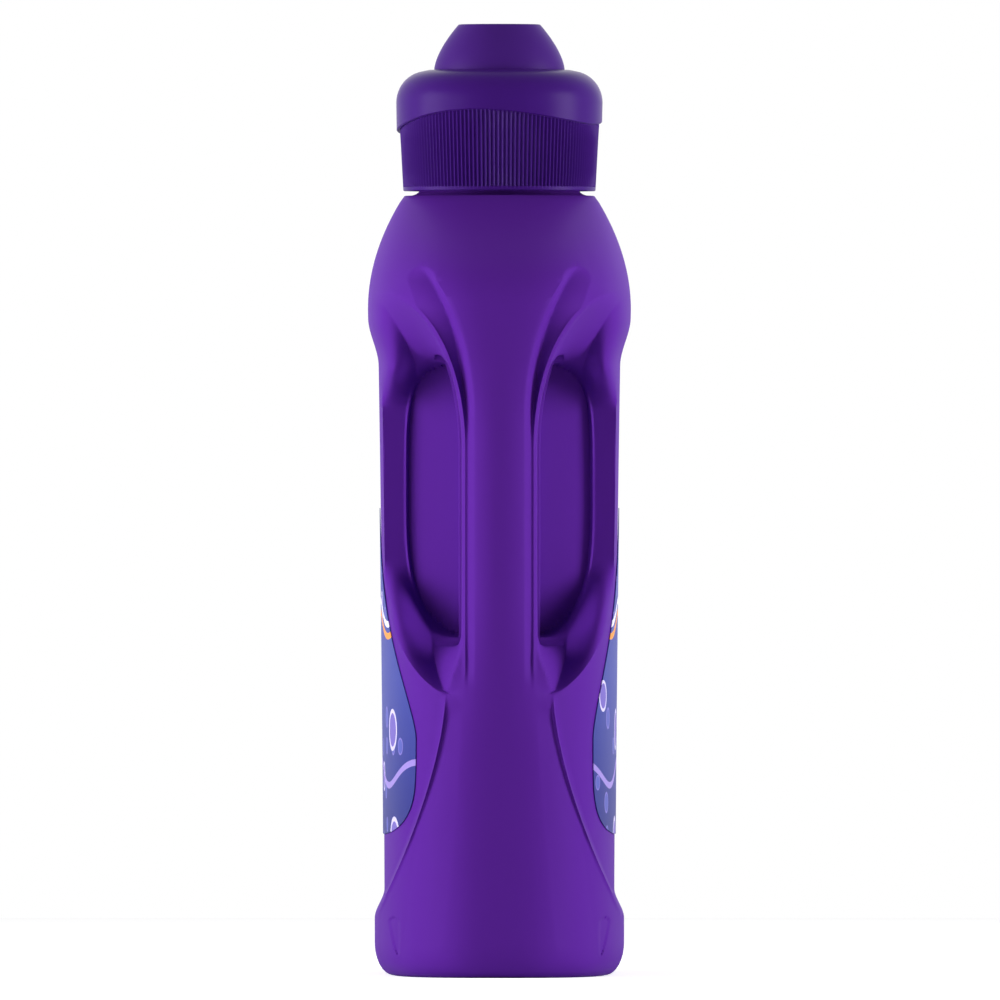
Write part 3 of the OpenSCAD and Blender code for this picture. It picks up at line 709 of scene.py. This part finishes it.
def cavity_form():
    low = PUSH_UP + WALL + 0.2
    first = mirrored(cavity_section(FOOT_ROUND_H * 0.27))
    heights = [z for z in skin_heights[::3] if FOOT_ROUND_H * 0.5 < z < SHOULDER_H - 4]
    last = mirrored(cavity_section(SHOULDER_H - 3))
    return loft(
        [scaled_ring(first, 0.9, low), scaled_ring(first, 0.98, low - 1)]
        + [mirrored(cavity_section(z)) for z in heights]
        + [scaled_ring(last, 0.9, SHOULDER_H - 2.6)]
    )


apply_cut(bottle, piece("hole_cutter", finger_hole(0, 96, 8)))
cavity = piece("cavity_cutter", cavity_form())
apply_cut(cavity, piece("hole_keeper", finger_hole(WALL, 48, 4)))
apply_cut(bottle, cavity)


def moulded_plastic(name, colour, roughness, gloss, gloss_tone=(1, 1, 1)):
    paint = bpy.data.materials.new(name)
    paint.use_nodes = True
    shader = paint.node_tree.nodes["Principled BSDF"]
    shader.inputs["Base Color"].default_value = (*colour, 1)
    shader.inputs["Roughness"].default_value = roughness
    shader.inputs["Specular IOR Level"].default_value = gloss
    shader.inputs["Specular Tint"].default_value = (*gloss_tone, 1)
    return paint


def srgb(r, g, b):
    return tuple(
        (c / 255 / 12.92) if c / 255 <= 0.04045 else ((c / 255 + 0.055) / 1.055) ** 2.4
        for c in (r, g, b)
    )


blown_plastic = moulded_plastic(
    "tinted_polyethylene", srgb(86, 35, 144), roughness=0.5, gloss=0.02, gloss_tone=(0.6, 0.42, 0.85),
)
bottle.data.materials.clear()
bottle.data.materials.append(blown_plastic)
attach(bottle, "bottle")
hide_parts("bottle")

# Pouring spout
# A natural polyethylene pourer plugged into the neck: a flange, a well that drains back
# through a slot, and an oblique pouring tube.
FLANGE_T = 1.6
FLANGE_R = 24.7
PLUG_R = 22.75
WELL_R = 21.35
WELL_H = 15
TUBE_R = 8.5
TUBE_T = 1.4
TUBE_H = 13
TUBE_SLANT = math.radians(-30)
SLOT_W = 5
SLOT_END_Y = 17
flange_top = neck_top + FLANGE_T
well_floor = flange_top - WELL_H


def turned(profile, steps):
    bm = bmesh.new()
    verts = [bm.verts.new((r * MM, 0, z * MM)) for r, z in profile]
    pairs = zip(verts, verts[1:] + verts[:1])
    edges = [bm.edges.new((a, b)) for a, b in pairs if a.co.x + b.co.x > 0]
    bmesh.ops.spin(
        bm, geom=verts + edges, axis=(0, 0, 1), cent=(0, 0, 0),
        angle=2 * math.pi, steps=steps, use_merge=True,
    )
    bmesh.ops.remove_doubles(bm, verts=bm.verts, dist=1e-6)
    bmesh.ops.dissolve_degenerate(bm, edges=bm.edges, dist=1e-7)
    bmesh.ops.recalc_face_normals(bm, faces=bm.faces)
    return bm


spout = piece("pourer", turned([
    (TUBE_R, well_floor - 1.5), (PLUG_R, well_floor - 1.5), (PLUG_R, neck_top),
    (FLANGE_R - 0.3, neck_top), (FLANGE_R, neck_top + 0.3),
    (FLANGE_R, flange_top - 0.3), (FLANGE_R - 0.3, flange_top),
    (WELL_R + 0.3, flange_top), (WELL_R, flange_top - 0.3), (WELL_R, well_floor),
    (TUBE_R + TUBE_T, well_floor), (TUBE_R + TUBE_T, flange_top + TUBE_H),
    (TUBE_R, flange_top + TUBE_H),
], 96), 30)


def box_piece(name, low, high, tilt=None):
    bm = bmesh.new()
    bmesh.ops.create_cube(bm, size=1)
    size = Vector(high) - Vector(low)
    for v in bm.verts:
        v.co = Vector(low) + Vector([(c + 0.5) * s for c, s in zip(v.co, size)])
        if tilt:
            turn, z = tilt
            c, s = math.cos(turn), math.sin(turn)
            v.co = (v.co.x, v.co.y * c - v.co.z * s, v.co.y * s + v.co.z * c + z)
        v.co *= MM
    return piece(name, bm)


tube_top = flange_top + TUBE_H
slot_low, slot_high = (-SLOT_W / 2, TUBE_R - 3, well_floor), (SLOT_W / 2, SLOT_END_Y, tube_top + 2)
apply_cut(spout, box_piece("slot_cutter", slot_low, slot_high))
slant = box_piece("slant_cutter", (-17, -22, 0), (17, 22, TUBE_H), (TUBE_SLANT, tube_top))
apply_cut(spout, slant)
spout_plastic = moulded_plastic("natural_polyethylene", srgb(238, 234, 244), roughness=0.42, gloss=0.5)
spout.data.materials.clear()
spout.data.materials.append(spout_plastic)
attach(spout, "bottle")
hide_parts("pour_spout")

# Dosing cup
# A tinted translucent polypropylene cup with a domed end and a threaded skirt.
# It stands upside down over the pourer, and its dome shows above the cap.
CUP_R = 22
DOME_TOP_R = 13
DOME_DRAW = 7.9
DOME_H = 15.4
CUP_SKIRT_R = 29.2
CUP_T = 1.4
RUN_GAP = 0.3
SKIRT_GAP = 1.6
CROWN_TOP = SHOULDER_H + 42.4
cup_seat = flange_top + RUN_GAP
cup_shoulder = cup_seat + CUP_T
skirt_low = SHOULDER_H + SKIRT_GAP
dome_top = CROWN_TOP + DOME_H


def dome_line(t, steps):
    line = []
    for i in range(steps + 1):
        u = i / steps
        line.append((CUP_R - DOME_DRAW * u ** 1.6 - t, CROWN_TOP + u * (DOME_H - t - 0.5)))
    return line + [(CUP_R - DOME_DRAW - 0.4 - t, dome_top - t - 0.1), (DOME_TOP_R - t, dome_top - t)]


outside = [(CUP_SKIRT_R, skirt_low + 2), (CUP_SKIRT_R, cup_shoulder - 0.5)]
outside += [(CUP_SKIRT_R - 0.5, cup_shoulder), (CUP_R, cup_shoulder)]
outside += dome_line(0, 24) + [(0, dome_top)]
inside = [(0, dome_top - CUP_T)] + dome_line(CUP_T, 24)[::-1]
inside += [(CUP_R - CUP_T, cup_seat), (CUP_SKIRT_R - CUP_T, cup_seat)]
inside += [(CUP_SKIRT_R - CUP_T, z) for z in even(cup_seat, skirt_low + 2, 36)[1:]]
inside += [(CUP_SKIRT_R - CUP_T, skirt_low + 2)]
cup_bm = turned(outside + inside, 128)
for v in cup_bm.verts:
    x, y, z = v.co / MM
    r = math.hypot(x, y)
    if skirt_low + 2.1 < z < cup_seat - 0.1 and abs(r - CUP_SKIRT_R + CUP_T) < 0.05:
        out = 1 - thread_out(x, y, z + THREAD_PITCH / 2) / r
        v.co = (x * out * MM, y * out * MM, z * MM)
cup = piece("dosing_cup_body", cup_bm, 35)
cup_plastic = moulded_plastic(
    "tinted_polypropylene", srgb(66, 30, 116), roughness=0.45, gloss=0.06, gloss_tone=(0.7, 0.55, 0.9),
)
cup.data.materials.append(cup_plastic)
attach(cup, "dosing_cup")
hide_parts("dosing_cup")

# Cap shell
# The glossy polypropylene outer shell of the closure, snapped over the dosing cup.
# A finely ribbed grip skirt runs up under a smooth crown with a wavy lower lip.
RIBS = 148
RIB_STEPS = 8
RIB_DEPTH = 0.6
SKIRT_LOW_R = 32.4
SKIRT_TOP_R = 33.9
SHELL_T = 1.5
CROWN_R = 34.78
CROWN_WIDE = SHOULDER_H + 31.5
CROWN_BEND_IN = 10.5
CROWN_BEND_END = 80
CROWN_STEPS = 12
LIP_MEAN = SHOULDER_H + 25.6
LIP_NOSE = 1.5
LIP_WAVE = 3.1
NOSE_TURN = math.radians(250)
skirt_top = LIP_MEAN + 4


# Height of the crown's lower lip, which falls at the nose and waves twice round.
def lip(turn):
    return LIP_MEAN - LIP_NOSE * math.cos(turn) - LIP_WAVE * math.cos(2 * turn)


def skirt_r(z):
    return mix(SKIRT_LOW_R, SKIRT_TOP_R, (z - skirt_low) / (skirt_top - skirt_low))


# The shell's section at one turn, up the outside and down the inside.
def shell_profile(turn, step):
    low = lip(turn)
    in_groove = RIB_DEPTH * (0.5 - 0.5 * math.cos(2 * math.pi * step / RIB_STEPS)) ** 0.7
    foot = skirt_low + 1.3
    line = [(skirt_r(skirt_low) - 0.25, skirt_low), (skirt_r(skirt_low), skirt_low + 0.25)]
    line += [(skirt_r(foot), foot), (skirt_r(foot) - in_groove, foot + 0.3)]
    line += [(skirt_r(z) - in_groove, z) for z in even(foot + 0.3, low - 0.6, 4)[1:]]
    line += [(skirt_r(low) - in_groove, low - 0.6), (skirt_r(low) - 0.1, low)]
    line += [(CROWN_R - 0.5, low), (CROWN_R - 0.15, low + 0.35)]
    rise = CROWN_TOP - CROWN_WIDE
    for i in range(CROWN_STEPS + 1):
        t = math.radians(CROWN_BEND_END) * i / CROWN_STEPS
        line.append((CROWN_R - CROWN_BEND_IN * (1 - math.cos(t)), CROWN_WIDE + (rise - 0.3) * math.sin(t)))
    sleeve = CUP_R + RUN_GAP
    line += [(sleeve + 1.6, CROWN_TOP), (sleeve + 0.5, CROWN_TOP - 0.3), (sleeve, CROWN_TOP - 1)]
    line += [(sleeve, cup_shoulder + RUN_GAP), (sleeve + SHELL_T, cup_shoulder + RUN_GAP)]
    line += [(sleeve + SHELL_T, CROWN_TOP - 3.2), (CROWN_R - 8, CROWN_TOP - 4.2)]
    line += [(CROWN_R - SHELL_T - 1, CROWN_WIDE), (skirt_r(skirt_top) - SHELL_T - RIB_DEPTH, LIP_MEAN + 3)]
    return line + [(SKIRT_LOW_R - SHELL_T - RIB_DEPTH, skirt_low)]


loops = []
for k in range(RIBS * RIB_STEPS):
    turn = 2 * math.pi * k / (RIBS * RIB_STEPS)
    a = turn + NOSE_TURN
    loops.append([(r * math.cos(a), r * math.sin(a), z) for r, z in shell_profile(turn, k % RIB_STEPS)])
loops.append(loops[0])
shell_bm = loft(loops)
shell = piece("cap_shell_body", shell_bm, 32)
shell_plastic = moulded_plastic(
    "glossy_polypropylene", srgb(60, 22, 112), roughness=0.33, gloss=0.06, gloss_tone=(0.75, 0.6, 0.9),
)
shell.data.materials.append(shell_plastic)
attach(shell, "cap_shell")
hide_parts("cap_shell")

# Front label
# A drop-shaped printed film on the front panel, wrapped towards the handle.
# It lies on the wall with its print outwards, and stands hardly proud of it.
LABEL_LOW = 47.6
LABEL_WIDE_H = 80
LABEL_TOP = 157
LABEL_LOW_FULL = 5
LABEL_TOP_POWER = 1.45
LABEL_STEPS = 72
LABEL_STEPS_LOW = 1.7
LABEL_T = 0.25
LABEL_OFF = 0.15
FRONT_LABEL_W = 85
BACK_LABEL_W = 77


# Half width of a label at a height: a drop with a broad foot and a pointed top.
def label_half(z, w):
    if z < LABEL_WIDE_H:
        down = (LABEL_WIDE_H - z) / (LABEL_WIDE_H - LABEL_LOW)
        return w * (1 - down ** LABEL_LOW_FULL) ** (1 / LABEL_LOW_FULL)
    return w * (1 - ((z - LABEL_WIDE_H) / (LABEL_TOP - LABEL_WIDE_H)) ** LABEL_TOP_POWER)


def panel_y(x, z):
    a = (spine_w(z) if x > 0 else far_w(z)) - recess(z)
    n = fullness(z)
    return panel_half_d(z) * max(0, 1 - (abs(x) / a) ** n) ** (1 / n)


def label_film(name, w, side):
    bm = bmesh.new()
    bmesh.ops.create_grid(bm, x_segments=LABEL_STEPS, y_segments=LABEL_STEPS, size=1)
    for v in bm.verts:
        u = (v.co.y + 1) / 2
        z = mix(LABEL_LOW, LABEL_TOP, u ** LABEL_STEPS_LOW) if u < 1 else LABEL_TOP
        x = v.co.x * label_half(z, w)
        v.co = (x, side * panel_y(x, z), z)
        v.co *= MM
    bmesh.ops.remove_doubles(bm, verts=bm.verts, dist=1e-6)
    bmesh.ops.recalc_face_normals(bm, faces=bm.faces)
    bm.normal_update()
    if sum(f.normal.y for f in bm.faces) * side < 0:
        bmesh.ops.reverse_faces(bm, faces=bm.faces)
    bm.normal_update()
    for v in bm.verts:
        v.co += v.normal * (LABEL_OFF + LABEL_T) * MM
    bmesh.ops.solidify(bm, geom=bm.faces, thickness=LABEL_T * MM)
    return piece(name, bm, 40)


def math_node(tree, how, a, b=None):
    node = tree.nodes.new("ShaderNodeMath")
    node.operation = how
    for socket, value in zip(node.inputs, (a, b)):
        if value is None:
            continue
        if isinstance(value, (int, float)):
            socket.default_value = value
        else:
            tree.links.new(value, socket)
    return node.outputs[0]


def colour_mix(tree, mask, a, b):
    node = tree.nodes.new("ShaderNodeMix")
    node.data_type = "RGBA"
    tree.links.new(mask, node.inputs["Factor"])
    for socket, value in zip((node.inputs[6], node.inputs[7]), (a, b)):
        if isinstance(value, tuple):
            socket.default_value = (*value, 1)
        else:
            tree.links.new(value, socket)
    return node.outputs[2]


# Discs of mixed sizes with rims, scattered over the film by a cell pattern.
def bubble_group():
    group = bpy.data.node_groups.new("bubbles", "ShaderNodeTree")
    face = group.interface
    face.new_socket("Place", in_out="INPUT", socket_type="NodeSocketVector")
    face.new_socket("Scale", in_out="INPUT", socket_type="NodeSocketFloat")
    face.new_socket("Share", in_out="INPUT", socket_type="NodeSocketFloat")
    face.new_socket("Disc", in_out="OUTPUT", socket_type="NodeSocketFloat")
    face.new_socket("Ring", in_out="OUTPUT", socket_type="NodeSocketFloat")
    start = group.nodes.new("NodeGroupInput")
    end = group.nodes.new("NodeGroupOutput")
    cells = group.nodes.new("ShaderNodeTexVoronoi")
    cells.voronoi_dimensions = "2D"
    cells.inputs["Randomness"].default_value = 0.8
    group.links.new(start.outputs["Place"], cells.inputs["Vector"])
    group.links.new(start.outputs["Scale"], cells.inputs["Scale"])
    tint = group.nodes.new("ShaderNodeSeparateColor")
    group.links.new(cells.outputs["Color"], tint.inputs[0])
    radius = math_node(group, "ADD", math_node(group, "MULTIPLY", tint.outputs[1], 0.12), 0.16)
    chosen = math_node(group, "LESS_THAN", tint.outputs[0], start.outputs["Share"])
    disc = math_node(group, "LESS_THAN", cells.outputs["Distance"], radius)
    inner = math_node(group, "MULTIPLY", radius, 0.8)
    rim = math_node(group, "GREATER_THAN", cells.outputs["Distance"], inner)
    disc = math_node(group, "MULTIPLY", disc, chosen)
    group.links.new(disc, end.inputs["Disc"])
    group.links.new(math_node(group, "MULTIPLY", disc, rim), end.inputs["Ring"])
    return group


bubbles = bubble_group()
FILM_FADE = (0.05, 0.1)
FILM_DARK = srgb(42, 46, 122)
FILM_PALE = srgb(60, 68, 150)
BUBBLE_LAYERS = (
    (70, 0.4, srgb(82, 88, 172), srgb(120, 110, 190)),
    (34, 0.45, srgb(112, 96, 182), srgb(206, 198, 236)),
)
WAVES = ((0.122, srgb(228, 224, 244)), (0.118, srgb(232, 150, 70)), (0.068, srgb(150, 130, 206)))
WAVE_SWING = 0.004
WAVE_RATE = 90
WAVE_WIDTH = 0.0011


# A wavy line across the film, in metres as its coordinates are.
def wave_mask(tree, along, height, middle, swing, rate, width):
    phase = math_node(tree, "MULTIPLY", along, rate)
    swell = math_node(tree, "MULTIPLY", math_node(tree, "SINE", phase), swing)
    off = math_node(tree, "SUBTRACT", height, math_node(tree, "ADD", swell, middle))
    return math_node(tree, "LESS_THAN", math_node(tree, "ABSOLUTE", off), width)


def printed_film(name, shift):
    paint = moulded_plastic(name, srgb(66, 74, 157), roughness=0.45, gloss=0.08)
    tree = paint.node_tree
    where = tree.nodes.new("ShaderNodeTexCoord")
    place = tree.nodes.new("ShaderNodeMapping")
    tree.links.new(where.outputs["Object"], place.inputs["Vector"])
    place.inputs["Rotation"].default_value = (math.radians(90), 0, 0)
    place.inputs["Location"].default_value = (shift, 0.01, 0)
    axes = tree.nodes.new("ShaderNodeSeparateXYZ")
    tree.links.new(where.outputs["Object"], axes.inputs[0])
    along, height = axes.outputs["X"], axes.outputs["Z"]
    fade = tree.nodes.new("ShaderNodeMapRange")
    tree.links.new(height, fade.inputs["Value"])
    fade.inputs["From Min"].default_value = FILM_FADE[0]
    fade.inputs["From Max"].default_value = FILM_FADE[1]
    look = colour_mix(tree, fade.outputs[0], FILM_DARK, FILM_PALE)
    for scale, share, disc, ring in BUBBLE_LAYERS:
        layer = tree.nodes.new("ShaderNodeGroup")
        layer.node_tree = bubbles
        tree.links.new(place.outputs[0], layer.inputs["Place"])
        layer.inputs["Scale"].default_value = scale
        layer.inputs["Share"].default_value = share
        look = colour_mix(tree, layer.outputs["Disc"], look, disc)
        look = colour_mix(tree, layer.outputs["Ring"], look, ring)
    for middle, tone in WAVES:
        band = wave_mask(tree, along, height, middle, WAVE_SWING, WAVE_RATE, WAVE_WIDTH)
        look = colour_mix(tree, band, look, tone)
    tree.links.new(look, tree.nodes["Principled BSDF"].inputs["Base Color"])
    return paint


front = label_film("front_film", FRONT_LABEL_W, -1)
front.data.materials.append(printed_film("front_print", 0.0))
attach(front, "bottle")
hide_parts("front_label")

# Back label
# The same printed film on the back panel, a little narrower than the front one.
# Its print is shifted along, so that the two sides don't repeat each other.
back = label_film("back_film", BACK_LABEL_W, 1)
back.data.materials.append(printed_film("back_print", 0.03))
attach(back, "bottle")
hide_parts("back_label")
